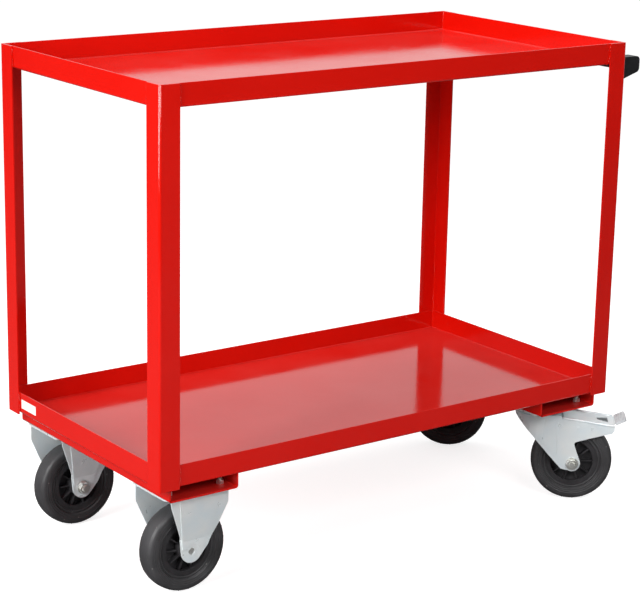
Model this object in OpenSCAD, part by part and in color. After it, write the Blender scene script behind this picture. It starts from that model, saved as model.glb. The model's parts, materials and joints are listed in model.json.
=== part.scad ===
// Two-tray tool cart: four corner posts of folded angle, two trays, two caster channels,
// a push handle at one end, two fixed casters and two braked swivel casters.
// +X runs from the fixed-caster end to the handle end, +Z is up, and the floor is z = 0.

/* [Frame] */
// Length over the posts
frame_l = 1030; // [800:1:1500]
// Width over the posts
frame_w = 540; // [450:1:800]
// Length of a corner post
post_h = 690; // [450:1:1100]
// Width of each leg of a post
leg_w = 40; // [30:1:60]
// Sheet thickness of the posts
leg_t = 3; // [2:0.5:5]
// Outside radius of a post's fold
post_r = 4; // [3:0.5:8]

/* [Trays] */
// Height of a tray's walls
tray_h = 40; // [36:1:80]
// Sheet thickness of the trays
tray_t = 2; // [1.5:0.5:3]
// Outside radius where a tray's walls fold up
tray_r = 4; // [3:0.5:8]
// Height of the lower tray's underside above the foot of the posts
tray_lift = 3; // [0:0.5:12]

/* [Weld beads] */
// Size of a weld bead across the joint
bead = 2.5; // [1.5:0.1:3]
// Length of one stitch of weld
stitch_l = 12; // [6:1:16]
// Distance between the middles of the stitches in a joint
stitch_pitch = 20; // [17:1:24]

/* [Caster channels] */
// Outside width of a channel
channel_w = 140; // [138:1:180]
// Height of a channel
channel_h = 28; // [22:1:50]
// Sheet thickness of the channels
channel_t = 3; // [2:0.5:4]
// Outside radius of a channel's folds
channel_r = 5; // [3:0.5:8]
// Distance from a channel's open end to the face of the frame
channel_inset = 8; // [4:1:30]

/* [Handle] */
// How far the handle reaches past the posts
handle_reach = 53; // [45:1:90]
// Distance from the top of the posts down to the top of the handle
handle_drop = 31; // [5:1:60]
// Height of a handle bracket at its nose
nose_h = 31; // [30:1:40]
// Rounding of the nose
nose_r = 8; // [4:1:12]
// Height of a handle bracket where it meets the post
root_h = 45; // [44:1:70]
// Width of a handle bracket along the bar
bracket_w = 24; // [18:1:32]
// Distance from the outside of a bracket to the side of the frame
bracket_inset = 16; // [4:1:20]
// Diameter of the grip
grip_d = 28; // [24:1:30]
// Diameter of the steel tube inside the grip
tube_d = 22; // [16:1:22]
// Wall of the steel tube
tube_wall = 1.5; // [1:0.1:3]
// How far the tube is seated in a bracket
tube_seat = 14; // [8:1:16]
// Diameter of the handle bolts
handle_bolt_d = 6; // [5:0.5:8]
// Distance between the two bolts of a bracket
handle_bolt_pitch = 16; // [14:1:24]

/* [Label] */
// Length of the blank label
label_l = 54; // [30:1:90]
// Height of the blank label
label_h = 17; // [10:1:30]
// Thickness of the label
label_t = 0.4; // [0.2:0.1:1]
// Distance from the label to the edge of the back post
label_gap = 8; // [2:1:60]

/* [Casters] */
// Overall height of a caster
caster_h = 195; // [190:1:220]
// Distance from the end of the frame to the middle of a caster
caster_inset_x = 94; // [92:1:160]
// Distance from the side of the frame to the middle of a caster
caster_inset_y = 80; // [70:1:140]
// Length of a mounting plate
plate_l = 135; // [130:1:138]
// Width of a mounting plate
plate_w = 110; // [106:1:120]
// Thickness of a mounting plate
plate_t = 3; // [2.5:0.5:4]
// Distance between the bolt holes along the plate
bolt_dx = 105; // [100:1:110]
// Distance between the bolt holes across the plate
bolt_dy = 80; // [76:1:82]
// Diameter of the mounting bolts
bolt_d = 8; // [6:1:10]
// Length of a mounting bolt under its head
bolt_l = 22; // [18:1:26]
// Sheet thickness of the forks
fork_t = 3; // [2.5:0.5:4]
// Clear width inside a fork
fork_gap = 60; // [56:1:66]
// Radius of a fixed fork's rounded end
fork_end_r = 21; // [18:1:24]

/* [Wheels] */
// Diameter of a wheel
wheel_d = 160; // [150:1:170]
// Width of the tyre
tyre_w = 40; // [30:1:46]
// Diameter of the rim that carries the tyre
rim_d = 102; // [90:1:110]
// Width of the rim's outer ring
rim_w = 32; // [24:1:38]
// Radial thickness of the rim's outer ring
rim_wall = 9; // [6:1:12]
// Thickness of the rim's web
web_t = 5; // [3:0.5:8]
// Number of ribs on each face of the rim
rib_count = 10; // [6:1:16]
// Thickness of a rib
rib_t = 2.4; // [1.5:0.1:4]
// Length of the rim's hub
hub_l = 57; // [50:1:58]
// Diameter of the rim's hub
hub_d = 38; // [36:1:44]
// Outside diameter of the roller cage
cage_d = 30; // [27:1:32]
// Outside diameter of the bearing sleeve
sleeve_d = 20; // [17:1:22]
// Diameter of the axle bolts
axle_d = 12; // [10:1:14]
// Width across the flats of the axle nut
nut_flats = 19; // [17:1:22]
// Height of the axle nut
nut_h = 10; // [6:1:12]

/* [Swivel casters] */
// Distance from the swivel axis to the axle
trail = 62; // [50:1:64]
// Direction in which the swivel casters trail, from +X
swivel_angle = -40; // [-180:1:180]
// Radius of the swivel head's rounded front
head_r = 38; // [36:1:42]
// How far the head reaches ahead of the swivel axis
head_reach = 52; // [48:1:56]
// Radius of a swivel fork's rounded end
swivel_end_r = 16; // [14:1:18]
// Height of the fork's top face above the axle
deck_z = 98; // [96:1:99]
// Diameter of the kingpin
kingpin_d = 16; // [12:1:18]
// Radius of the ring of balls
ball_ring_r = 29; // [27:1:31]
// Number of balls
ball_count = 18; // [10:1:20]

/* [Brakes] */
// Diameter of the brake pin
brake_pin_d = 8; // [6:1:9]
// Distance from the brake pin back to the axle
brake_pin_x = 18; // [16:1:20]
// Height of the brake pin above the axle
brake_pin_z = 85; // [84:1:86]
// Sheet thickness of the brake lever
lever_t = 2; // [1.5:0.5:3]
// Width of the brake lever
lever_w = 57; // [50:1:58]
// Reach of the flat part of the lever past the axle
lever_reach = 80; // [76:1:84]
// How far the brake lever turns down
lever_turn = 8; // [4:0.5:8]
// Length of the brake shoe
shoe_l = 18; // [10:1:18]
// Width of the brake shoe
shoe_w = 24; // [12:1:36]
// Length of the pedal pad
pad_l = 22; // [16:1:30]
// Width of the pedal pad
pad_w = 50; // [40:1:54]
// Thickness of the pedal pad
pad_t = 6; // [5:0.5:9]
// Rise of the pedal pad from the horizontal
pad_rise = 26; // [15:1:35]

/* [Clearances] */
// Radial clearance of a pin or sleeve that turns
run_gap = 0.05; // [0.02:0.01:0.1]
// Radial clearance of a bolt in its hole
bolt_gap = 0.5; // [0.2:0.1:1.5]

/* [Hidden] */
$fn = 72;
eps = 0.01;
foot_z = caster_h + channel_h - tray_lift;
top_z = foot_z + post_h;
upper_tray_z = top_z - tray_h;
lower_tray_z = foot_z + tray_lift;
wheel_r = wheel_d / 2;
plate_z = caster_h - plate_t;
leg_in = fork_gap / 2;
leg_out = leg_in + fork_t;
// Handle: the middle of the bar, the middle of a bracket, and the clear bar between brackets.
bar_x = handle_reach - nose_h / 2;
bar_z = top_z - handle_drop - nose_h / 2;
bracket_y = bracket_inset + bracket_w / 2;
clear_bar = frame_w - 2 * (bracket_inset + bracket_w);
// Fixed fork: its legs are upright up to the bend and lean out above it.
plate_over_axle = plate_z - wheel_r;
leg_bend_z = 22;
leg_top_y = plate_w / 2 - 1;
square_head = axle_d * 0.9;
// Swivel head: the balls run between the fork's top face and the upper race.
deck_t = fork_t;
deck_top = wheel_r + deck_z;
race_t = 4;
ball_d = plate_z - race_t - deck_top - 0.4;
skirt_r = ball_ring_r + ball_d / 2 + 4;
// Top line of the lever: it starts over the pin and falls towards the pedal.
lever_start = [-brake_pin_x - 2, deck_z - 5];
lever_end = [lever_reach - 1, deck_z - 16];
pad_gap = 4;
pad_low_z = (lever_t - pad_t) / 2;
pad_corner_r = 5;
pad_corner_x = lever_end[0] + (pad_gap + pad_l - pad_corner_r) * cos(pad_rise)
    - pad_low_z * sin(pad_rise);
// The handle and the front pedal pass the frame, so the frame sits off the origin by half of that.
side_reach = -(trail + pad_corner_x) * sin(swivel_angle)
    + (pad_w / 2 - pad_corner_r) * cos(swivel_angle)
    + pad_corner_r * norm([cos(pad_rise) * sin(swivel_angle), cos(swivel_angle)]);
origin_x = -handle_reach / 2;
origin_y = max(0, side_reach - caster_inset_y) / 2;

paint = "#d8180f";
zinc = "#c9d3d6";
steel = "#9aa0a3";
rubber = "#3a393b";
plastic = "#26262a";

// ---- Places ----

// Moves from the frame's own middle to the part's origin.
module cart() translate([origin_x, origin_y, 0]) children();

// A corner of the frame: x and y are -1 or 1, and the child's +x and +y point into the frame.
module corner(x, y) {
    cart() translate([x * frame_l / 2, y * frame_w / 2, 0])
        mirror([x > 0 ? 1 : 0, 0, 0]) mirror([0, y > 0 ? 1 : 0, 0]) children();
}

// The middle of a fixed caster on the floor; -y faces out of the frame.
module fixed_place(side) {
    cart() translate([caster_inset_x - frame_l / 2, side * (frame_w / 2 - caster_inset_y), 0])
        rotate([0, 0, side < 0 ? 0 : 180]) children();
}

// The swivel axis of a swivel caster on the floor; +x is the way the caster trails.
module swivel_place(side) {
    cart() translate([frame_l / 2 - caster_inset_x, side * (frame_w / 2 - caster_inset_y), 0])
        rotate([0, 0, swivel_angle]) children();
}

module fixed_axle(side) fixed_place(side) translate([0, 0, wheel_r]) children();
module swivel_axle(side) swivel_place(side) translate([trail, 0, wheel_r]) children();

// Extrudes a shape drawn in x and z to both sides of y = 0.
module across(width) rotate([90, 0, 0]) linear_extrude(width, center = true) children();

// Extrudes a shape drawn in y and z to both sides of x = 0.
module along(length) rotate([90, 0, 90]) linear_extrude(length, center = true) children();

// Points of an arc about c, from angle a to angle b.
function arc(c, r, a, b, steps = 8) = [
    for (i = [0 : steps]) let (t = a + (b - a) * i / steps) c + r * [cos(t), sin(t)]
];

// Lays a turned shape's axis along y.
module turned() rotate([90, 0, 0]) children();

// ---- Frame ----

module post(x, y) {
    color(paint) corner(x, y) translate([0, 0, foot_z]) linear_extrude(post_h) difference() {
        union() {
            translate([post_r, post_r]) circle(post_r);
            translate([post_r, 0]) square([leg_w - post_r, leg_w]);
            translate([0, post_r]) square([leg_w, leg_w - post_r]);
        }
        translate([leg_t, leg_t]) square(leg_w);
    }
}

// A trough's section: a box of the given width and height with its two lower edges rounded.
module trough_section(width, height, r) {
    translate([-width / 2, r]) square([width, height - r]);
    translate([r - width / 2, 0]) square([width - 2 * r, r]);
    for (x = [r - width / 2, width / 2 - r]) translate([x, r]) circle(r);
}

// A box whose four lower edges are rounded.
module folded_box(length, width, height, r) {
    intersection() {
        along(length) trough_section(width, height, r);
        across(width) trough_section(length, height, r);
    }
}

module tray(z) {
    length = frame_l - 2 * leg_t;
    width = frame_w - 2 * leg_t;
    color(paint) cart() translate([0, 0, z]) difference() {
        folded_box(length, width, tray_h, tray_r);
        translate([0, 0, tray_t])
            folded_box(length - 2 * tray_t, width - 2 * tray_t, tray_h, tray_r - tray_t);
    }
}

// Stitches in the corner between the edge of a post's leg and the wall of a tray.
module weld_beads() {
    color(paint) for (x = [-1, 1], y = [-1, 1], z = [upper_tray_z, lower_tray_z], step = [-1, 1])
        corner(x, y) translate([0, 0, z + tray_h / 2 + step * stitch_pitch / 2]) {
            translate([leg_w, leg_t, 0]) stitch();
            translate([leg_t, leg_w, 0]) mirror([1, -1, 0]) stitch();
        }
}

module stitch() {
    linear_extrude(stitch_l, center = true) polygon([[0, 0], [bead, 0], [0, -bead]]);
}

module channel(x) {
    color(paint) cart() translate([x * (frame_l / 2 - caster_inset_x), 0, caster_h]) difference() {
        across(frame_w - 2 * channel_inset) difference() {
            trough_section(channel_w, channel_h, channel_r);
            translate([0, channel_t]) trough_section(
                channel_w - 2 * channel_t, channel_h, channel_r - channel_t
            );
        }
        for (side = [-1, 1]) translate([0, side * (frame_w / 2 - caster_inset_y), 0])
            bolt_pattern() translate([0, 0, -eps]) cylinder(h = channel_t + 1, r = bolt_d / 2 + bolt_gap);
    }
}

module bolt_pattern() {
    for (x = [-1, 1], y = [-1, 1]) translate([x * bolt_dx / 2, y * bolt_dy / 2, 0]) children();
}

// Mounting bolts with their heads under the plates and their nuts inside the channel.
module channel_bolts(x) {
    flats = 1.6 * bolt_d;
    nut_z = caster_h + channel_t;
    color(steel) cart() for (side = [-1, 1])
        translate([x * (frame_l / 2 - caster_inset_x), side * (frame_w / 2 - caster_inset_y), 0])
            bolt_pattern() {
                translate([0, 0, plate_z]) cylinder(h = bolt_l, r = bolt_d / 2);
                translate([0, 0, plate_z - 0.65 * bolt_d]) hexagon(flats, 0.65 * bolt_d);
                translate([0, 0, nut_z]) difference() {
                    hexagon(flats, 0.8 * bolt_d);
                    translate([0, 0, -eps]) cylinder(h = bolt_d, r = bolt_d / 2 + run_gap);
                }
            }
}

module hexagon(flats, height) cylinder(h = height, d = flats / cos(30), $fn = 6);

module blank_label() {
    color("white") corner(-1, 1) translate([leg_t - label_t, leg_w + label_gap, lower_tray_z])
        translate([0, 0, (tray_h - label_h) / 2]) cube([label_t, label_l, label_h]);
}

// ---- Handle ----

// Where a line from point p touches the lower side of a circle at c.
function tangent(p, c, r) =
    let (d = norm(c - p), a = atan2(c[1] - p[1], c[0] - p[0]) - asin(r / d))
    p + sqrt(d * d - r * r) * [cos(a), sin(a)];

// Side view of a bracket: x is measured from the post, y from the top of the handle.
module bracket_side() {
    root = [0, -root_h];
    low = [handle_reach - nose_r, nose_r - nose_h];
    high = [handle_reach - nose_r, -nose_r];
    touch = tangent(root, low, nose_r) - low;
    end = atan2(touch[1], touch[0]);
    polygon(concat([[0, 0]], arc(high, nose_r, 90, 0), arc(low, nose_r, 0, end), [root]));
}

// The bracket's own side: the child's y = 0 is the middle of the bracket.
module bracket_place(side) {
    cart() translate([frame_l / 2, side * (frame_w / 2 - bracket_y), 0]) children();
}

module handle_bolt_places() {
    middle = top_z - tray_h - handle_bolt_d - 14;
    for (step = [-1, 1]) translate([0, 0, middle + step * handle_bolt_pitch / 2]) children();
}

module handle_bracket(side) {
    color(plastic) bracket_place(side) difference() {
        translate([0, 0, top_z - handle_drop]) across(bracket_w) bracket_side();
        translate([bar_x, -side * (bracket_w / 2 - tube_seat), bar_z])
            rotate([side * 90, 0, 0]) cylinder(h = tube_seat + 1, d = tube_d + 2 * run_gap);
        handle_bolt_places() translate([-eps, 0, 0]) rotate([0, 90, 0])
            cylinder(h = 14, d = handle_bolt_d + 2 * run_gap);
    }
}

module handle_bar(length, outer, inner) {
    cart() translate([frame_l / 2 + bar_x, 0, bar_z]) turned() difference() {
        cylinder(h = length, d = outer, center = true);
        cylinder(h = length + 1, d = inner, center = true);
    }
}

module handle_tube() {
    color(steel) handle_bar(clear_bar + 2 * tube_seat - 1, tube_d, tube_d - 2 * tube_wall);
}

module handle_grip() {
    color(plastic) handle_bar(clear_bar - 1, grip_d, tube_d);
}

// Bolts from inside each post into its bracket.
module handle_bolts() {
    color(steel) for (side = [-1, 1]) bracket_place(side) handle_bolt_places() {
        translate([-leg_t, 0, 0]) rotate([0, 90, 0]) cylinder(h = leg_t + 13, d = handle_bolt_d);
        translate([-leg_t, 0, 0]) rotate([0, -90, 0]) hexagon(1.65 * handle_bolt_d, 4);
    }
}

module post_at_handle(side) {
    difference() {
        post(1, side);
        bracket_place(side) handle_bolt_places() translate([-leg_t - 1, 0, 0])
            rotate([0, 90, 0]) cylinder(h = leg_t + 2, d = handle_bolt_d + 2 * bolt_gap);
    }
}

// ---- Wheels ----

// The tyre's section: x is the radius, y the distance from the middle of the tread.
module tyre_section() {
    half = tyre_w / 2;
    seat = rim_d / 2;
    shoulder = 9;
    crown = 1.2;
    side = concat(
        [
            [seat, rim_w / 2 - 1], [seat + 1.5, rim_w / 2 + 1], [seat + 6, rim_w / 2 + 1.4],
            [seat + 8, half - 1.6], [seat + 12, half]
        ],
        arc([wheel_r - crown - shoulder, half - shoulder], shoulder, 90, 0)
    );
    polygon(concat(side, [[wheel_r, 0]], [for (i = [len(side) - 1 : -1 : 0]) [side[i][0], -side[i][1]]]));
}

module tyre() color(rubber) turned() rotate_extrude() tyre_section();

module rim() {
    ring_in = rim_d / 2 - rim_wall;
    hub_r = hub_d / 2;
    color(plastic) turned() difference() {
        union() {
            rotate_extrude() {
                translate([ring_in, -rim_w / 2]) square([rim_wall, rim_w]);
                translate([cage_d / 2, -web_t / 2]) square([ring_in - cage_d / 2 + 1, web_t]);
                translate([cage_d / 2, -hub_l / 2]) square([hub_r - cage_d / 2, hub_l]);
            }
            for (i = [0 : rib_count - 1]) rotate([0, 0, i * 360 / rib_count])
                translate([hub_r - 1, -rib_t / 2, 0]) rotate([90, 0, 0]) mirror([0, 0, 1])
                    linear_extrude(rib_t) polygon([
                        [0, -hub_l / 2 + 12], [ring_in - hub_r + 2, -rim_w / 2 + 4],
                        [ring_in - hub_r + 2, rim_w / 2 - 4], [0, hub_l / 2 - 12]
                    ]);
        }
        cylinder(h = hub_l + 2, d = cage_d, center = true);
    }
}

module ring(outer, inner, length) {
    turned() difference() {
        cylinder(h = length, d = outer, center = true);
        cylinder(h = length + 1, d = inner, center = true);
    }
}

module roller_cage() color(steel) ring(cage_d, sleeve_d + 2 * run_gap, hub_l - 6);

module sleeve() color(zinc) ring(sleeve_d, axle_d + 2 * run_gap, fork_gap);

// A bolt's square head is set in the leg at -y, and its thread comes out at +y.
module axle_bolt() {
    color(zinc) turned() {
        translate([0, 0, -leg_out - nut_h - 3]) cylinder(h = 2 * leg_out + nut_h + 2, d = axle_d);
        translate([0, 0, leg_in]) rotate([0, 0, 45]) translate([0, 0, (fork_t - 1) / 2])
            cube([square_head, square_head, fork_t - 1], center = true);
    }
}

module axle_nut() {
    color(zinc) turned() translate([0, 0, -leg_out]) mirror([0, 0, 1]) difference() {
        union() {
            cylinder(h = 2, d = 1.3 * nut_flats);
            hexagon(nut_flats, nut_h);
        }
        translate([0, 0, -1]) cylinder(h = nut_h + 2, d = axle_d + 2 * run_gap);
    }
}

// Holes in a fork's two legs: square at -y and round at +y.
module axle_holes() {
    turned() {
        cylinder(h = 2 * leg_out + 8, d = axle_d + 2 * run_gap, center = true);
        translate([0, 0, leg_in + 5]) rotate([0, 0, 45])
            cube([square_head + 2 * run_gap, square_head + 2 * run_gap, 10], center = true);
    }
}

// ---- Fixed casters ----

module plate_holes() {
    bolt_pattern() translate([0, 0, -1]) cylinder(h = plate_t + 2, r = bolt_d / 2 + 3 * bolt_gap);
}

module mounting_plate() {
    r = 6;
    linear_extrude(plate_t) {
        square([plate_l, plate_w - 2 * r], center = true);
        square([plate_l - 2 * r, plate_w], center = true);
        for (x = [-1, 1], y = [-1, 1])
            translate([x * (plate_l / 2 - r), y * (plate_w / 2 - r)]) circle(r);
    }
}

// Section of a leg in y and z, pushed outwards by raise: upright at the axle, then leaning out.
module leg_section(raise) {
    polygon([
        [-leg_top_y - raise, plate_over_axle + 1], [-leg_out - raise, leg_bend_z],
        [-leg_out - raise, -fork_end_r], [-leg_in - raise, -fork_end_r],
        [-leg_in - raise, leg_bend_z], [-leg_top_y + fork_t - raise, plate_over_axle + 1]
    ]);
}

module fixed_leg_outline() {
    circle(fork_end_r);
    polygon([
        [-fork_end_r, 0], [-24, 30], [-35, 57], [-50, 93], [-56, plate_over_axle + 1],
        [62, plate_over_axle + 1], [66, 84], [52, 44], [33, 6], [fork_end_r * 0.75, -fork_end_r * 0.66]
    ]);
}

// The pressed panel that stiffens a leg stops around the axle.
module leg_panel_outline() {
    difference() {
        polygon([
            [-19, 6], [-22, 30], [-38, plate_over_axle], [42, plate_over_axle], [42, 66], [22, 4]
        ]);
        circle(14);
    }
}

module fixed_fork(side) {
    raise = 1.4;
    color(zinc) fixed_axle(side) difference() {
        union() {
            translate([0, 0, plate_over_axle]) mounting_plate();
            for (turn = [0, 180]) rotate([0, 0, turn]) {
                intersection() {
                    along(plate_l) leg_section(0);
                    across(plate_w) fixed_leg_outline();
                }
                intersection() {
                    along(plate_l) leg_section(raise);
                    across(plate_w + 4) leg_panel_outline();
                }
            }
        }
        translate([0, 0, plate_over_axle]) plate_holes();
        axle_holes();
    }
}

// ---- Swivel casters ----

// The top plate carries the upper race and the skirt round the balls.
module swivel_plate(side) {
    skirt_z = deck_top + 1.2;
    color(zinc) swivel_place(side) difference() {
        union() {
            rotate([0, 0, -swivel_angle]) translate([0, 0, plate_z]) mounting_plate();
            translate([0, 0, skirt_z]) cylinder(h = plate_z + eps - skirt_z, r = skirt_r);
        }
        translate([0, 0, deck_top]) cylinder(h = plate_z - race_t - deck_top, r = skirt_r - 2.5);
        translate([0, 0, deck_top]) cylinder(h = caster_h, d = kingpin_d);
        rotate([0, 0, -swivel_angle]) translate([0, 0, plate_z]) plate_holes();
    }
}

module balls(side) {
    ball_z = (deck_top + plate_z - race_t) / 2;
    color(steel) swivel_place(side) for (i = [0 : ball_count - 1])
        rotate([0, 0, i * 360 / ball_count]) translate([ball_ring_r, 0, ball_z]) sphere(d = ball_d);
}

// Riveted in the plate, with a head that holds the fork up.
module kingpin(side) {
    head_h = 7;
    head_z = deck_top - deck_t - 0.4 - head_h;
    color(zinc) swivel_place(side) translate([0, 0, head_z]) {
        cylinder(h = caster_h - head_z, d = kingpin_d);
        cylinder(h = head_h, d = kingpin_d + 14);
    }
}

// Plan of the wall that runs round the head and back along both sides of the wheel.
module fork_wall_plan(inset) {
    front = -trail - head_reach + head_r;
    half = leg_out - inset;
    translate([front, 0]) circle(head_r - inset);
    translate([front, -half]) square([lever_reach + 1 - front, 2 * half]);
}

// Side view of the fork: a leg to the axle, and a wing over the wheel for the brake.
module swivel_leg_outline() {
    front = -trail - head_reach - 1;
    circle(swivel_end_r);
    polygon([
        [-22, -0.7 * swivel_end_r], [-52, 22], [-79, 55], [front, deck_z - 4], [front, deck_z],
        [-brake_pin_x - 10, deck_z], [-brake_pin_x - 7, deck_z - 3], [-brake_pin_x, deck_z - 6],
        [lever_reach, deck_z - 18], [lever_reach, deck_z - 28], [lever_reach - 5, deck_z - 33.5],
        [61, 61.5], [9, 46], [4, 44], [2.5, 40], [0.96 * swivel_end_r, 0.28 * swivel_end_r],
        [0, -swivel_end_r]
    ]);
}

// The rolled edge along the top of each wing, which ends round.
module wing_beads() {
    bead_r = 2.6;
    first = [-brake_pin_x - 4, deck_z - 4.5];
    run = [lever_reach - 3, deck_z - 17.5] - first;
    for (y = [-1, 1])
        translate([first[0], y * (leg_out - 0.7), first[1]])
            rotate([0, 90 - atan2(run[1], run[0]), 0]) {
                cylinder(h = norm(run), r = bead_r);
                translate([0, 0, norm(run)]) sphere(bead_r);
            }
}

// A pressed groove down each leg and a rivet in each wing.
module leg_details() {
    rib_r = 2;
    for (y = [-1, 1]) {
        translate([-31, y * (leg_out - 1.5), 18]) cylinder(h = 66, r = rib_r);
        translate([9, y * (leg_out - 1), 74]) rotate([-90 * y, 0, 0]) cylinder(h = 2, r = 3);
    }
}

module swivel_fork(side) {
    color(zinc) swivel_axle(side) difference() {
        union() {
            intersection() {
                linear_extrude(2 * wheel_d, center = true) difference() {
                    fork_wall_plan(0);
                    fork_wall_plan(fork_t);
                }
                across(3 * head_r) swivel_leg_outline();
            }
            leg_details();
            translate([0, 0, deck_z - deck_t]) linear_extrude(deck_t) difference() {
                fork_wall_plan(0);
                translate([-brake_pin_x - 6, -head_r]) square(4 * head_r);
            }
            wing_beads();
        }
        translate([-trail, 0, deck_z - 10]) cylinder(h = 20, d = kingpin_d + 2 * run_gap);
        rotate([0, 0, 180]) axle_holes();
        brake_pin_hole();
    }
}

module brake_pin_place() translate([-brake_pin_x, 0, brake_pin_z]) turned() children();

module brake_pin_hole() brake_pin_place() cylinder(h = 4 * leg_out, d = brake_pin_d, center = true);

module brake_pin(side) {
    color(zinc) swivel_axle(side) brake_pin_place() {
        cylinder(h = 2 * leg_out, d = brake_pin_d, center = true);
    }
}

function lever_top(x) = lever_start[1]
    + (x - lever_start[0]) * (lever_end[1] - lever_start[1]) / (lever_end[0] - lever_start[0]);

// A strip from x = a to x = b that follows the lever's top line, down to the given depth.
module lever_strip(a, b, depth) {
    polygon([
        [a, lever_top(a)], [b, lever_top(b)], [b, lever_top(b) - depth], [a, lever_top(a) - depth]
    ]);
}

// The pad's own frame: x runs along the raised tab, from the end of the lever.
module pad_place() {
    translate([lever_end[0], 0, lever_end[1] - lever_t]) rotate([0, -pad_rise, 0]) children();
}

module pedal_tab(length) {
    tab_w = pad_w - 6;
    translate([-2, -tab_w / 2, 0]) cube([length + 2, tab_w, lever_t]);
}

// The shoe's curved face clears the tyre by the lever's travel.
module shoe_side() {
    shoe_gap = 8.6;
    shoe_x = 22;
    difference() {
        lever_strip(shoe_x, shoe_x + shoe_l, 12);
        circle(wheel_r + shoe_gap);
    }
}

module brake_lever(side) {
    window_end = lever_reach - 12;
    color(zinc) swivel_axle(side) difference() {
        union() {
            across(lever_w) lever_strip(lever_start[0], lever_end[0], lever_t);
            for (y = [-1, 1]) translate([0, y * (lever_w - lever_t) / 2, 0]) across(lever_t) {
                lever_strip(lever_start[0], lever_end[0] - 15, 7);
                translate([-brake_pin_x, brake_pin_z]) circle(brake_pin_d / 2 + 3);
            }
            across(shoe_w) shoe_side();
            pad_place() pedal_tab(pad_gap + pad_l - 2);
        }
        brake_pin_place()
            cylinder(h = 4 * leg_out, d = brake_pin_d + 2 * run_gap, center = true);
        translate([window_end, 0, 0]) linear_extrude(2 * wheel_d)
            polygon([[0, -16], [0, 16], [-22, 7], [-22, -7]]);
    }
}

// A moulded cap over the tab, with rounded outer corners and ribs for the sole of a shoe.
module pedal_pad(side) {
    rib_pitch = 3.4;
    straight_l = pad_l - pad_corner_r;
    corner_y = pad_w / 2 - pad_corner_r;
    color("#b9bdbf") swivel_axle(side) pad_place() difference() {
        translate([pad_gap, 0, pad_low_z]) {
            linear_extrude(pad_t) {
                translate([0, -corner_y]) square([pad_l, 2 * corner_y]);
                translate([0, -pad_w / 2]) square([straight_l, pad_w]);
                for (y = [-1, 1]) translate([straight_l, y * corner_y]) circle(pad_corner_r);
            }
            for (x = [rib_pitch : rib_pitch : pad_l - rib_pitch])
                translate([x, 0, pad_t]) turned() cylinder(h = pad_w - 8, r = 0.9, center = true);
        }
        pedal_tab(pad_gap + pad_l - 2);
    }
}

// ---- Sub-parts ----

post(-1, -1);  // post_front_left
post_at_handle(-1);  // post_front_right
post(-1, 1);  // post_back_left
post_at_handle(1);  // post_back_right
tray(upper_tray_z);  // upper_tray
tray(lower_tray_z);  // lower_tray
weld_beads();
channel(-1);  // channel_left
channel(1);  // channel_right
channel_bolts(-1);  // channel_bolts_left
channel_bolts(1);  // channel_bolts_right
blank_label();
handle_bracket(-1);  // handle_bracket_front
handle_bracket(1);  // handle_bracket_back
handle_tube();
handle_grip();
handle_bolts();
fixed_fork(-1);  // fixed_front_fork
fixed_axle(-1) axle_bolt();  // fixed_front_axle_bolt
fixed_axle(-1) axle_nut();  // fixed_front_axle_nut
fixed_axle(-1) sleeve();  // fixed_front_sleeve
fixed_axle(-1) roller_cage();  // fixed_front_roller_cage
fixed_axle(-1) rim();  // fixed_front_rim
fixed_axle(-1) tyre();  // fixed_front_tyre
fixed_fork(1);  // fixed_back_fork
fixed_axle(1) axle_bolt();  // fixed_back_axle_bolt
fixed_axle(1) axle_nut();  // fixed_back_axle_nut
fixed_axle(1) sleeve();  // fixed_back_sleeve
fixed_axle(1) roller_cage();  // fixed_back_roller_cage
fixed_axle(1) rim();  // fixed_back_rim
fixed_axle(1) tyre();  // fixed_back_tyre
swivel_plate(-1);  // swivel_front_plate
kingpin(-1);  // swivel_front_kingpin
balls(-1);  // swivel_front_balls
swivel_fork(-1);  // swivel_front_fork
swivel_axle(-1) rotate([0, 0, 180]) axle_bolt();  // swivel_front_axle_bolt
swivel_axle(-1) rotate([0, 0, 180]) axle_nut();  // swivel_front_axle_nut
swivel_axle(-1) sleeve();  // swivel_front_sleeve
swivel_axle(-1) roller_cage();  // swivel_front_roller_cage
swivel_axle(-1) rim();  // swivel_front_rim
swivel_axle(-1) tyre();  // swivel_front_tyre
brake_pin(-1);  // swivel_front_brake_pin
brake_lever(-1);  // swivel_front_brake_lever
pedal_pad(-1);  // swivel_front_pedal_pad
swivel_plate(1);  // swivel_back_plate
kingpin(1);  // swivel_back_kingpin
balls(1);  // swivel_back_balls
swivel_fork(1);  // swivel_back_fork
swivel_axle(1) rotate([0, 0, 180]) axle_bolt();  // swivel_back_axle_bolt
swivel_axle(1) rotate([0, 0, 180]) axle_nut();  // swivel_back_axle_nut
swivel_axle(1) sleeve();  // swivel_back_sleeve
swivel_axle(1) roller_cage();  // swivel_back_roller_cage
swivel_axle(1) rim();  // swivel_back_rim
swivel_axle(1) tyre();  // swivel_back_tyre
brake_pin(1);  // swivel_back_brake_pin
brake_lever(1);  // swivel_back_brake_lever
pedal_pad(1);  // swivel_back_pedal_pad
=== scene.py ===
# %% [markdown]
# # A red tool cart, piece by piece
# The cart is a welded frame of folded angle with two sheet trays, a moulded push handle and four
# casters. The exact model gives every piece its place and size, and this lesson gives the pieces
# their finishes: powder coat, zinc plate, rubber and moulded plastic. Everything is in metres.

# %% Load the exact model
import json
import math

import bpy
from mathutils import Matrix, Vector


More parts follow.
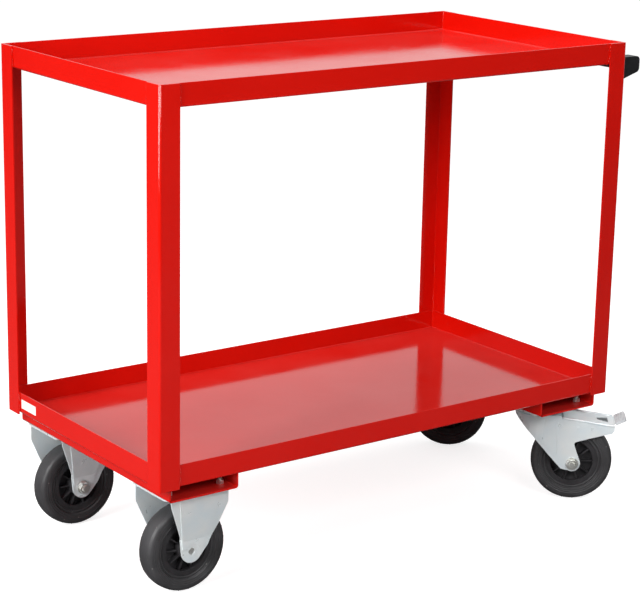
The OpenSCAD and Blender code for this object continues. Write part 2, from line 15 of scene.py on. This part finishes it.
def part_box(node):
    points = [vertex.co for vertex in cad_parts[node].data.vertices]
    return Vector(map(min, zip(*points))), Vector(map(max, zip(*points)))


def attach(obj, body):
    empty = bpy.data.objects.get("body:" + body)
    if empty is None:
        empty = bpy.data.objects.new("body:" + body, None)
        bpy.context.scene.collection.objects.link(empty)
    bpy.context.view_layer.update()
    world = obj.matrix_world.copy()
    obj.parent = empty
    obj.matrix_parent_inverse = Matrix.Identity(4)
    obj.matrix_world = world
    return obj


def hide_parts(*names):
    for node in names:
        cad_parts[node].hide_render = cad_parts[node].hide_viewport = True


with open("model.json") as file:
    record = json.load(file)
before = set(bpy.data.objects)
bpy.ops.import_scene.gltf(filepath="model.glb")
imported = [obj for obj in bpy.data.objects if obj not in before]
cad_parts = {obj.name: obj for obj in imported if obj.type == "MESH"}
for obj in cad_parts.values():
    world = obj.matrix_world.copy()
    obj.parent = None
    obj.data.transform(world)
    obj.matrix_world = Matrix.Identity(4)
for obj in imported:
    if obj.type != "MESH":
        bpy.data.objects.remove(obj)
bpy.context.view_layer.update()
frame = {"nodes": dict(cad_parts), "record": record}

nodes = frame["nodes"]
record = frame["record"]
MM = 0.001

# %% [markdown]
# ## Camera
# The cart is seen from its front left corner, a little above the upper tray. A long lens keeps the
# posts almost upright. The camera's turn is written as a heading, a tilt and a small roll, which
# are easier to reason about than Euler angles.

# %% Camera
HEADING, TILT, ROLL = math.radians(36.46), math.radians(15.22), math.radians(1.15)
LENS_IN_WIDTHS = 3.132
CAMERA_PLACE = Vector((-2.205, -2.940, 1.418))

ahead = Vector((math.sin(HEADING) * math.cos(TILT), math.cos(HEADING) * math.cos(TILT), -math.sin(TILT)))
level = Vector((math.cos(HEADING), -math.sin(HEADING), 0))
upward = level.cross(ahead)
right = level * math.cos(ROLL) + upward * math.sin(ROLL)
top = upward * math.cos(ROLL) - level * math.sin(ROLL)

camera_data = bpy.data.cameras.new("camera")
camera_data.sensor_fit = "HORIZONTAL"
camera_data.sensor_width = 36
camera_data.lens = 36 * LENS_IN_WIDTHS
camera = bpy.data.objects.new("camera", camera_data)
camera.matrix_world = Matrix((
    (right.x, top.x, -ahead.x, CAMERA_PLACE.x),
    (right.y, top.y, -ahead.y, CAMERA_PLACE.y),
    (right.z, top.z, -ahead.z, CAMERA_PLACE.z),
    (0, 0, 0, 1),
))
bpy.context.scene.collection.objects.link(camera)
bpy.context.scene.camera = camera
print("camera lens", round(camera_data.lens, 1), "mm")

# %% [markdown]
# ## Floor and light
# Glossy paint shows what surrounds it more than its own colour. The studio is therefore bright
# behind and above the cart, which gives the tray floors their soft shine, and dim on the camera's
# side, which keeps the upright faces deep and clean. The floor is white to the eye and throws soft
# light back up under the cart, but it is dark in reflections, so that the paint keeps its colour.

# %% Floor
FLOOR_SIZE = 30
floor_data = bpy.data.meshes.new("floor")
half = FLOOR_SIZE / 2
corners = [(-half, -half, 0), (half, -half, 0), (half, half, 0), (-half, half, 0)]
floor_data.from_pydata(corners, [], [(0, 1, 2, 3)])
floor = bpy.data.objects.new("floor", floor_data)
bpy.context.scene.collection.objects.link(floor)
floor_finish = bpy.data.materials.new("floor")
floor_finish.use_nodes = True
floor_tree = floor_finish.node_tree
floor_shader = floor_tree.nodes["Principled BSDF"]
floor_shader.inputs["Roughness"].default_value = 0.95
floor_shader.inputs["Specular IOR Level"].default_value = 0.0
floor_shader.inputs["Emission Strength"].default_value = 0.80
floor_ray = floor_tree.nodes.new("ShaderNodeLightPath")
for socket, ray_kind, plain, other in (
    ("Base Color", "Is Glossy Ray", 0.50, 0.10), ("Emission Color", "Is Camera Ray", 0.0, 1.0)
):
    shade = floor_tree.nodes.new("ShaderNodeMix")
    shade.data_type = "RGBA"
    shade.inputs[6].default_value = (plain, plain, plain, 1)
    shade.inputs[7].default_value = (other, other, other, 1)
    floor_tree.links.new(floor_ray.outputs[ray_kind], shade.inputs[0])
    floor_tree.links.new(shade.outputs[2], floor_shader.inputs[socket])
floor_data.materials.append(floor_finish)

# %% Sky: white to the camera, bright behind the cart and dim in front of it for everything else
DIM, BRIGHT = 0.06, 0.72
world = bpy.data.worlds.new("studio")
bpy.context.scene.world = world
world.use_nodes = True
sky = world.node_tree.nodes["Background"]
sky.inputs["Color"].default_value = (1, 1, 1, 1)
sky_nodes, sky_links = world.node_tree.nodes, world.node_tree.links
direction = sky_nodes.new("ShaderNodeTexCoord")
behind = sky_nodes.new("ShaderNodeVectorMath")
behind.operation = "DOT_PRODUCT"
behind.inputs[1].default_value = (0.52, 0.74, 0.43)
strength = sky_nodes.new("ShaderNodeMapRange")
strength.interpolation_type = "SMOOTHSTEP"
for socket, value in (("From Min", -0.1), ("From Max", 0.75), ("To Min", DIM), ("To Max", BRIGHT)):
    strength.inputs[socket].default_value = value
backdrop = sky_nodes.new("ShaderNodeBackground")
backdrop.inputs["Color"].default_value = (1, 1, 1, 1)
backdrop.inputs["Strength"].default_value = 1.0
ray = sky_nodes.new("ShaderNodeLightPath")
either = sky_nodes.new("ShaderNodeMixShader")
sky_links.new(direction.outputs["Generated"], behind.inputs[0])
sky_links.new(behind.outputs["Value"], strength.inputs["Value"])
sky_links.new(strength.outputs["Result"], sky.inputs["Strength"])
sky_links.new(ray.outputs["Is Camera Ray"], either.inputs[0])
sky_links.new(sky.outputs[0], either.inputs[1])
sky_links.new(backdrop.outputs[0], either.inputs[2])
sky_links.new(either.outputs[0], sky_nodes["World Output"].inputs["Surface"])


# %% Softboxes
def softbox(name, place, target, width, height, watts):
    """A rectangular light that faces its target."""
    data = bpy.data.lights.new(name, "AREA")
    data.shape = "RECTANGLE"
    data.size, data.size_y = width, height
    data.energy = watts
    light = bpy.data.objects.new(name, data)
    light.location = place
    light.rotation_euler = (Vector(target) - Vector(place)).to_track_quat("-Z", "Y").to_euler()
    bpy.context.scene.collection.objects.link(light)


softbox("left_panel", (-3.6, -0.6, 1.9), (0, 0, 0.5), 1.8, 1.8, 160)
softbox("front_panel", (-0.9, -3.6, 2.6), (0, 0, 0.5), 1.6, 1.4, 90)
softbox("top_panel", (-0.2, 0.5, 3.6), (0, 0, 0), 2.6, 2.0, 72)
bpy.context.scene.view_settings.view_transform = "Standard"
print("three light panels")

# %% [markdown]
# ## Shared effects
# Several finishes need the same small helpers: a soft unevenness, fine grain and dust that lies on
# what faces up. Each is a node group with named inputs, so one drawing of the effect serves every
# material with its own values.

# %% Node helpers


def group(name, inputs, outputs):
    """A shader node group with float inputs {name: default} and outputs {name: socket type}."""
    tree = bpy.data.node_groups.new(name, "ShaderNodeTree")
    for key, value in inputs.items():
        kind = "NodeSocketColor" if isinstance(value, tuple) else "NodeSocketFloat"
        tree.interface.new_socket(key, in_out="INPUT", socket_type=kind).default_value = value
    for key, kind in outputs.items():
        tree.interface.new_socket(key, in_out="OUTPUT", socket_type=kind)
    return tree, tree.nodes.new("NodeGroupInput"), tree.nodes.new("NodeGroupOutput")


def add(tree, kind, links=None, **settings):
    """A node with its settings, with inputs fed from sockets or set to plain values."""
    node = tree.nodes.new(kind)
    for key, value in settings.items():
        setattr(node, key, value)
    for key, value in (links or {}).items():
        socket = node.inputs[key]
        if isinstance(value, bpy.types.NodeSocket):
            tree.links.new(value, socket)
        else:
            socket.default_value = value
    return node


def place(tree, name, values):
    """An instance of a shared effect inside a material."""
    node = tree.nodes.new("ShaderNodeGroup")
    node.node_tree = bpy.data.node_groups[name]
    for key, value in values.items():
        if isinstance(value, bpy.types.NodeSocket):
            tree.links.new(value, node.inputs[key])
        else:
            node.inputs[key].default_value = value
    return node


# %% Cloudy: a slow change from one value to another
tree, start, end = group(
    "cloudy", {"Scale": 10.0, "Low": 0.0, "High": 1.0, "Detail": 3.0}, {"Value": "NodeSocketFloat"}
)
where = add(tree, "ShaderNodeTexCoord")
noise = add(tree, "ShaderNodeTexNoise", {
    "Vector": where.outputs["Object"], "Scale": start.outputs["Scale"], "Detail": start.outputs["Detail"]
})
spread = add(tree, "ShaderNodeMapRange", {
    "Value": noise.outputs["Fac"], "From Min": 0.3, "From Max": 0.7,
    "To Min": start.outputs["Low"], "To Max": start.outputs["High"]
})
tree.links.new(spread.outputs["Result"], end.inputs["Value"])
print("group cloudy")

# %% Speckle: small sparse spots, such as dust nibs and pits
tree, start, end = group(
    "speckle", {"Scale": 400.0, "Amount": 0.2}, {"Mask": "NodeSocketFloat"}
)
where = add(tree, "ShaderNodeTexCoord")
cells = add(tree, "ShaderNodeTexVoronoi", {
    "Vector": where.outputs["Object"], "Scale": start.outputs["Scale"]
})
picked = add(tree, "ShaderNodeSeparateColor", {"Color": cells.outputs["Color"]})
chosen = add(tree, "ShaderNodeMath", {
    0: picked.outputs["Red"], 1: start.outputs["Amount"]
}, operation="LESS_THAN")
near = add(tree, "ShaderNodeMapRange", {
    "Value": cells.outputs["Distance"], "From Min": 0.12, "From Max": 0.3, "To Min": 1.0, "To Max": 0.0
})
mask = add(tree, "ShaderNodeMath", {0: chosen.outputs[0], 1: near.outputs["Result"]}, operation="MULTIPLY")
tree.links.new(mask.outputs[0], end.inputs["Mask"])
print("group speckle")

# %% Dust: lies on what faces up, in patches
tree, start, end = group("dust", {"Amount": 0.2, "Patch": 9.0}, {"Mask": "NodeSocketFloat"})
facing = add(tree, "ShaderNodeNewGeometry")
split = add(tree, "ShaderNodeSeparateXYZ", {"Vector": facing.outputs["Normal"]})
upward_part = add(tree, "ShaderNodeMapRange", {
    "Value": split.outputs["Z"], "From Min": 0.4, "From Max": 1.0
})
where = add(tree, "ShaderNodeTexCoord")
patches = add(tree, "ShaderNodeTexNoise", {
    "Vector": where.outputs["Object"], "Scale": start.outputs["Patch"], "Detail": 6.0
})
patched = add(tree, "ShaderNodeMath", {
    0: upward_part.outputs["Result"], 1: patches.outputs["Fac"]
}, operation="MULTIPLY")
dusty = add(tree, "ShaderNodeMath", {0: patched.outputs[0], 1: start.outputs["Amount"]}, operation="MULTIPLY")
tree.links.new(dusty.outputs[0], end.inputs["Mask"])
print("group dust")


# %% Tint: mixes two colours by a mask
tree, start, end = group(
    "tint", {"Mask": 0.0, "Plain": (0.5, 0.5, 0.5, 1.0), "Other": (0.5, 0.5, 0.5, 1.0)},
    {"Color": "NodeSocketColor"}
)
mixed = add(tree, "ShaderNodeMix", data_type="RGBA")
tree.links.new(start.outputs["Mask"], mixed.inputs[0])
tree.links.new(start.outputs["Plain"], mixed.inputs[6])
tree.links.new(start.outputs["Other"], mixed.inputs[7])
tree.links.new(mixed.outputs[2], end.inputs["Color"])
print("group tint")


def finish(name, **constants):
    """A material with a Principled shader whose plain values are set on its own sockets."""
    material = bpy.data.materials.new(name)
    material.use_nodes = True
    shader = material.node_tree.nodes["Principled BSDF"]
    for key, value in constants.items():
        shader.inputs[key.replace("_", " ")].default_value = value
    return material, material.node_tree, shader


def bump(tree, shader, height, strength, distance):
    """Feeds a height through a Bump node into the shader's normal."""
    node = add(tree, "ShaderNodeBump", {"Height": height, "Strength": strength, "Distance": distance})
    tree.links.new(node.outputs["Normal"], shader.inputs["Normal"])


# %% [markdown]
# ## Powder coat
# Powder coat is a thick plastic skin, baked on. It is glossy but never flat: it flows into a fine
# orange peel, a few millimetres across, and a little dust gets caught in it. The colour is set by
# the shader, the peel by a bump, and a clear coat gives the sharp reflections of a new cart.

# %% Powder coat
paint, tree, shader = finish("powder_coat", IOR=1.5, Coat_Roughness=0.03, Coat_IOR=1.5)
shade = place(tree, "cloudy", {"Scale": 2.5, "Low": 0.0, "High": 1.0})
red = place(tree, "tint", {
    "Mask": shade.outputs["Value"], "Plain": (0.57, 0.004, 0.001, 1), "Other": (0.62, 0.006, 0.002, 1)
})
dust = place(tree, "dust", {"Amount": 0.06, "Patch": 7.0})
dusted = place(tree, "tint", {
    "Mask": dust.outputs["Mask"], "Plain": red.outputs["Color"], "Other": (0.75, 0.55, 0.5, 1)
})
tree.links.new(dusted.outputs["Color"], shader.inputs["Base Color"])
gloss = place(tree, "cloudy", {"Scale": 14.0, "Low": 0.06, "High": 0.12})
tree.links.new(gloss.outputs["Value"], shader.inputs["Roughness"])
clear = place(tree, "cloudy", {"Scale": 5.0, "Low": 0.05, "High": 0.20})
tree.links.new(clear.outputs["Value"], shader.inputs["Coat Weight"])
peel = place(tree, "cloudy", {"Scale": 260.0, "Low": 0.0, "High": 1.0, "Detail": 1.0})
nibs = place(tree, "speckle", {"Scale": 90.0, "Amount": 0.05})
relief = add(tree, "ShaderNodeMath", {
    0: peel.outputs["Value"], 1: nibs.outputs["Mask"]
}, operation="ADD")
bump(tree, shader, relief.outputs[0], 0.10, 0.0004)
print("powder coat")

# %% [markdown]
# ## Zinc plate
# The forks, plates and levers are pressed steel with a bright, slightly blue zinc plate. Plating
# is cloudy: its gloss and its tint change slowly over a piece, with fine rolling lines under it.

# %% Zinc
zinc, tree, shader = finish("zinc_plate", Metallic=0.30, IOR=1.7)
cloud = place(tree, "cloudy", {"Scale": 24.0, "Low": 0.0, "High": 1.0, "Detail": 4.0})
blue = place(tree, "tint", {
    "Mask": cloud.outputs["Value"], "Plain": (0.76, 0.85, 0.89, 1), "Other": (0.86, 0.90, 0.90, 1)
})
stain = place(tree, "speckle", {"Scale": 70.0, "Amount": 0.04})
stained = place(tree, "tint", {
    "Mask": stain.outputs["Mask"], "Plain": blue.outputs["Color"], "Other": (0.72, 0.73, 0.71, 1)
})
tree.links.new(stained.outputs["Color"], shader.inputs["Base Color"])
haze = place(tree, "cloudy", {"Scale": 45.0, "Low": 0.26, "High": 0.42, "Detail": 5.0})
tree.links.new(haze.outputs["Value"], shader.inputs["Roughness"])
grain = place(tree, "cloudy", {"Scale": 900.0, "Low": 0.0, "High": 1.0, "Detail": 2.0})
bump(tree, shader, grain.outputs["Value"], 0.12, 0.0002)
print("zinc plate")

# %% [markdown]
# ## Bolts and bare steel
# Bolts and nuts come with a thinner plate than the pressings, a little warmer and duller. The
# handle's tube, the roller cages and the balls are bare steel, which is darker and cleaner. Both are
# drawn by one function, because they differ only in their values.

# %% Small metal parts
def small_metal(name, metallic, plain, other, cloud_scale, haze_scale, low, high, grain_scale, strength):
    """A metal whose tint and gloss change slowly, with a fine grain under them."""
    material, tree, shader = finish(name, Metallic=metallic)
    cloud = place(tree, "cloudy", {"Scale": cloud_scale, "Low": 0.0, "High": 1.0})
    colour = place(tree, "tint", {"Mask": cloud.outputs["Value"], "Plain": plain, "Other": other})
    tree.links.new(colour.outputs["Color"], shader.inputs["Base Color"])
    haze = place(tree, "cloudy", {"Scale": haze_scale, "Low": low, "High": high})
    tree.links.new(haze.outputs["Value"], shader.inputs["Roughness"])
    grain = place(tree, "cloudy", {"Scale": grain_scale, "Low": 0.0, "High": 1.0})
    bump(tree, shader, grain.outputs["Value"], strength, 0.0002)
    return material


bolt_plate = small_metal(
    "bolt_plate", 0.8, (0.70, 0.70, 0.64, 1), (0.78, 0.80, 0.79, 1), 60.0, 120.0, 0.28, 0.45, 1400.0, 0.15
)
steel = small_metal(
    "bare_steel", 1.0, (0.42, 0.42, 0.43, 1), (0.55, 0.55, 0.55, 1), 80.0, 150.0, 0.25, 0.4, 1800.0, 0.1
)
print("bolt plate and bare steel")

# %% [markdown]
# ## Rubber
# The tyres are solid rubber. A new one is dark grey with a dull bloom, and rubs shiny in places.

# %% Rubber
rubber, tree, shader = finish("rubber", IOR=1.5)
bloom = place(tree, "cloudy", {"Scale": 30.0, "Low": 0.0, "High": 1.0, "Detail": 5.0})
dark = place(tree, "tint", {
    "Mask": bloom.outputs["Value"], "Plain": (0.030, 0.029, 0.031, 1), "Other": (0.048, 0.047, 0.050, 1)
})
specks = place(tree, "speckle", {"Scale": 160.0, "Amount": 0.03})
specked = place(tree, "tint", {
    "Mask": specks.outputs["Mask"], "Plain": dark.outputs["Color"], "Other": (0.16, 0.155, 0.15, 1)
})
tree.links.new(specked.outputs["Color"], shader.inputs["Base Color"])
dull = place(tree, "cloudy", {"Scale": 50.0, "Low": 0.42, "High": 0.60, "Detail": 4.0})
tree.links.new(dull.outputs["Value"], shader.inputs["Roughness"])
skin = place(tree, "cloudy", {"Scale": 1200.0, "Low": 0.0, "High": 1.0})
bump(tree, shader, skin.outputs["Value"], 0.2, 0.0002)
print("rubber")

# %% [markdown]
# ## Moulded plastic
# The handle and the wheel centres are black plastic with a fine spark-eroded grain. The pedal pads
# are light grey and ribbed.


# %% Plastics
def plastic(name, plain, other, low, high, strength):
    """A moulded plastic with a fine grain."""
    material, tree, shader = finish(name, IOR=1.46)
    cloud = place(tree, "cloudy", {"Scale": 40.0, "Low": 0.0, "High": 1.0, "Detail": 4.0})
    colour = place(tree, "tint", {"Mask": cloud.outputs["Value"], "Plain": plain, "Other": other})
    tree.links.new(colour.outputs["Color"], shader.inputs["Base Color"])
    haze = place(tree, "cloudy", {"Scale": 90.0, "Low": low, "High": high})
    tree.links.new(haze.outputs["Value"], shader.inputs["Roughness"])
    grain = place(tree, "cloudy", {"Scale": 1500.0, "Low": 0.0, "High": 1.0, "Detail": 2.0})
    bump(tree, shader, grain.outputs["Value"], strength, 0.0003)
    return material


black_plastic = plastic("black_plastic", (0.010, 0.010, 0.011, 1), (0.018, 0.018, 0.020, 1), 0.30, 0.44, 0.25)
centre_plastic = plastic("wheel_centre", (0.022, 0.021, 0.023, 1), (0.036, 0.034, 0.037, 1), 0.36, 0.5, 0.2)
grey_plastic = plastic("grey_plastic", (0.50, 0.52, 0.54, 1), (0.60, 0.62, 0.63, 1), 0.45, 0.6, 0.3)
paper = plastic("label_stock", (0.80, 0.78, 0.76, 1), (0.88, 0.87, 0.85, 1), 0.5, 0.65, 0.1)
print("plastics and label stock")

# %% [markdown]
# ## Dress the exact pieces
# Each exact piece keeps its mesh and takes the material of its slot. Real sheet and castings have
# no razor edges, so a weld joins the corners that the file keeps apart and a bevel rounds every
# sharp edge a little; the rounded edge is what catches the light along the folds.

# %% Materials and rounded edges
by_slot = {
    "paint": paint, "zinc": zinc, "bolt_zinc": bolt_plate, "tube_steel": steel,
    "black_plastic": black_plastic, "grey_plastic": grey_plastic, "rubber": rubber, "label": paper,
}
slot_of = {s["node"]: s["material_slot"] for s in record["subparts"]}
EDGE = {
    "paint": 0.5 * MM, "zinc": 0.4 * MM, "bolt_zinc": 0.3 * MM, "tube_steel": 0.2 * MM,
    "black_plastic": 0.6 * MM, "grey_plastic": 0.8 * MM, "rubber": 0.3 * MM, "label": 0.05 * MM,
}


def round_edges(piece, width):
    """Joins split corners, rounds the sharp edges and keeps the flats flat."""
    weld = piece.modifiers.new("weld", "WELD")
    weld.merge_threshold = 0.01 * MM
    edge = piece.modifiers.new("edge", "BEVEL")
    edge.width = width
    edge.segments = 2
    edge.limit_method = "ANGLE"
    edge.angle_limit = math.radians(32)
    edge.harden_normals = True


for name, piece in nodes.items():
    material = by_slot[slot_of[name]]
    if name.endswith("_rim"):
        material = centre_plastic
    piece.data.materials.clear()
    piece.data.materials.append(material)
    if "balls" not in name:
        round_edges(piece, EDGE[slot_of[name]])
print("dressed", len(nodes), "nodes")

# %% [markdown]
# ## Tyres
# The exact tyre has the right size but a plain section. A moulded tyre shows more: a lip that grips
# the rim, a groove beside it, thin rings on the sidewall, and a round shoulder with the small nubs
# that the mould's vents leave. A section turned about the axle gives all of it except the nubs,
# which are set round the shoulders one by one.

# %% Piece builder
def new_piece(name, vertices, faces, material, body, replaced=()):
    """A smooth mesh piece that rides on a body and takes the finish it is given."""
    data = bpy.data.meshes.new(name)
    data.from_pydata(vertices, [], faces)
    data.validate()
    data.materials.append(material)
    for polygon in data.polygons:
        polygon.use_smooth = True
    piece = bpy.data.objects.new(name, data)
    bpy.context.scene.collection.objects.link(piece)
    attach(piece, body)
    if replaced:
        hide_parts(*replaced)
    return piece


def turned(section, steps):
    """Vertices and faces of a closed (radius, side) section turned about the y axis."""
    vertices, faces = [], []
    count = len(section)
    for i in range(steps):
        angle = 2 * math.pi * i / steps
        for radius, side in section:
            vertices.append(Vector((radius * math.sin(angle), side, radius * math.cos(angle))))
        for j in range(count):
            k, after = (j + 1) % count, (i + 1) % steps
            faces.append((i * count + j, after * count + j, after * count + k, i * count + k))
    return vertices, faces


def bubble(centre, radius, squash, rings=5, slices=8):
    """Vertices and faces of a small ellipsoid; squash scales its three radii."""
    vertices = [centre + Vector((0, 0, radius * squash[2]))]
    for i in range(1, rings):
        lean = math.pi * i / rings
        for j in range(slices):
            turn = 2 * math.pi * j / slices
            vertices.append(centre + radius * Vector((
                math.sin(lean) * math.cos(turn) * squash[0],
                math.sin(lean) * math.sin(turn) * squash[1],
                math.cos(lean) * squash[2],
            )))
    vertices.append(centre - Vector((0, 0, radius * squash[2])))
    faces = [(0, 1 + j, 1 + (j + 1) % slices) for j in range(slices)]
    for i in range(rings - 2):
        a, b = 1 + i * slices, 1 + (i + 1) * slices
        for j in range(slices):
            k = (j + 1) % slices
            faces.append((a + j, b + j, b + k, a + k))
    a, last = 1 + (rings - 2) * slices, len(vertices) - 1
    faces += [(a + (j + 1) % slices, a + j, last) for j in range(slices)]
    return vertices, faces


def gather(parts):
    """Joins (vertices, faces) parts into one pair."""
    vertices, faces = [], []
    for part_vertices, part_faces in parts:
        base = len(vertices)
        vertices += part_vertices
        faces += [tuple(base + i for i in face) for face in part_faces]
    return vertices, faces


# %% Tyre section
low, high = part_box("fixed_front_tyre")
TYRE_R, TYRE_HALF = (high.z - low.z) / 2 / MM, (high.y - low.y) / 2 / MM
low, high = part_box("fixed_front_rim")
SEAT = (high.z - low.z) / 2 / MM
SHOULDER = 9.0
ROUND_AT = TYRE_R - 1.2 - SHOULDER


def sidewall_ring(radius, side, width, height):
    """A thin raised ring on the sidewall."""
    return [
        (radius - width, side), (radius - width * 0.5, side + height * 0.8), (radius, side + height),
        (radius + width * 0.5, side + height * 0.8), (radius + width, side),
    ]


side_points = [
    (SEAT + 0.05, 14.9), (SEAT + 0.5, 15.9), (SEAT + 1.4, 16.5), (SEAT + 2.8, 16.7), (SEAT + 4.0, 16.4),
    (SEAT + 4.6, 15.4), (SEAT + 5.4, 15.3), (SEAT + 6.2, 16.3), (SEAT + 7.0, 17.9), (SEAT + 7.8, 18.8),
    (SEAT + 8.6, 19.05), (SEAT + 9.4, 18.9), (SEAT + 10.2, 18.8),
]
side_points += sidewall_ring(SEAT + 12.6, 19.0, 0.7, 0.35)
side_points += sidewall_ring(SEAT + 16.4, 19.3, 0.8, 0.45)
side_points += [
    (ROUND_AT + SHOULDER * math.cos(t), TYRE_HALF - SHOULDER - 0.25 + SHOULDER * math.sin(t))
    for t in [math.radians(a) for a in (86, 78, 70, 62, 54)]
]
side_points += [(76.4, 17.05), (76.6, 16.3), (77.0, 15.9)]
side_points += [
    (ROUND_AT + SHOULDER * math.cos(t), TYRE_HALF - SHOULDER - 0.25 + SHOULDER * math.sin(t))
    for t in [math.radians(a) for a in (30, 22, 14, 6)]
]
side_points += [(79.3, 9.0), (79.75, 5.0)]
section = [(r, w) for r, w in side_points] + [(TYRE_R, 0)] + [(r, -w) for r, w in reversed(side_points)]
section = [(r * MM, w * MM) for r, w in section]
print("tyre section has", len(section), "points, radius", round(TYRE_R, 1), "mm")

# %% [markdown]
# The mould's vents leave two rows of nubs on each side of a tyre: larger ones on the shoulder and
# finer ones on the sidewall, a little further round. All four tyres are the same casting, so it is
# built once and then stood on each wheel's axle, which the joints give.

# %% Tyres
STEPS, NUBS = 128, 24
SIDE_STEP = 0.25
SHOULDER_NUB_AT, SHOULDER_NUB_SIDE, SHOULDER_NUB_R = 77.9, 14.2, 0.9
WALL_NUB_AT, WALL_NUB_SIDE, WALL_NUB_R, WALL_NUB_TURN = 69.0, 19.4, 0.55, 0.1
ROUND = (1, 1, 1)


def nub(turn, at, side, radius):
    """One nub at an angle round the tyre."""
    return bubble(Vector((at * math.sin(turn), side, at * math.cos(turn))) * MM, radius * MM, ROUND)


parts = [turned(section, STEPS)]
for side in (-1, 1):
    for i in range(NUBS):
        turn = 2 * math.pi * (i + SIDE_STEP * side) / NUBS
        parts.append(nub(turn, SHOULDER_NUB_AT, side * SHOULDER_NUB_SIDE, SHOULDER_NUB_R))
        parts.append(nub(turn + WALL_NUB_TURN, WALL_NUB_AT, side * WALL_NUB_SIDE, WALL_NUB_R))
tyre_vertices, tyre_faces = gather(parts)
for joint in record["behaviour"]["joints"]:
    if not joint["name"].endswith("_spin"):
        continue
    kind, place_name = joint["name"].split("_")[1:3]
    axle, centre = Vector(joint["axis"]).normalized(), Vector(joint["pos_m"])
    upright = Vector((0, 0, 1))
    turn = Matrix((axle.cross(upright), axle, upright)).transposed()
    node_name = f"{kind}_{place_name}_tyre"
    new_piece(
        f"{node_name}_moulded", [centre + turn @ v for v in tyre_vertices], tyre_faces,
        rubber, joint["child"], [node_name],
    )
print("four tyres,", len(tyre_faces), "faces each")

# %% [markdown]
# ## Weld beads
# The trays are stitched to the posts with short runs of weld, painted over. A run is a row of small
# overlapping puddles, so each straight stitch of the exact model is redrawn as such a row.

# %% Weld beads
def islands(mesh):
    """The lowest and highest corner of each separate part of a mesh."""
    parent = {}
    key_of = [tuple(round(c, 6) for c in v.co) for v in mesh.vertices]

    def root(key):
        while parent.setdefault(key, key) != key:
            key = parent[key]
        return key

    for edge in mesh.edges:
        a, b = root(key_of[edge.vertices[0]]), root(key_of[edge.vertices[1]])
        parent[a] = b
    found = {}
    for key in key_of:
        found.setdefault(root(key), []).append(key)
    groups = [found[key] for key in sorted(found)]
    return [(Vector(map(min, zip(*keys))), Vector(map(max, zip(*keys)))) for keys in groups]


PUDDLE_PITCH, PUDDLE_R, PUDDLE_CHANGE = 1.5 * MM, 1.35, 0.2
FLATTENED = (1, 1, 0.8)
puddles = []
for low, high in islands(nodes["weld_beads"].data):
    middle = (low + high) / 2
    count = int((high.z - low.z) / PUDDLE_PITCH)
    for i in range(count + 1):
        z = low.z + (high.z - low.z) * i / count
        size = (PUDDLE_R + PUDDLE_CHANGE * math.sin(i * 2.3 + middle.x * 40)) * MM
        puddles.append(bubble(Vector((middle.x, middle.y, z)), size, FLATTENED))
vertices, faces = gather(puddles)
new_piece("weld_puddles", vertices, faces, paint, "frame", ["weld_beads"])
print(len(puddles), "weld puddles")
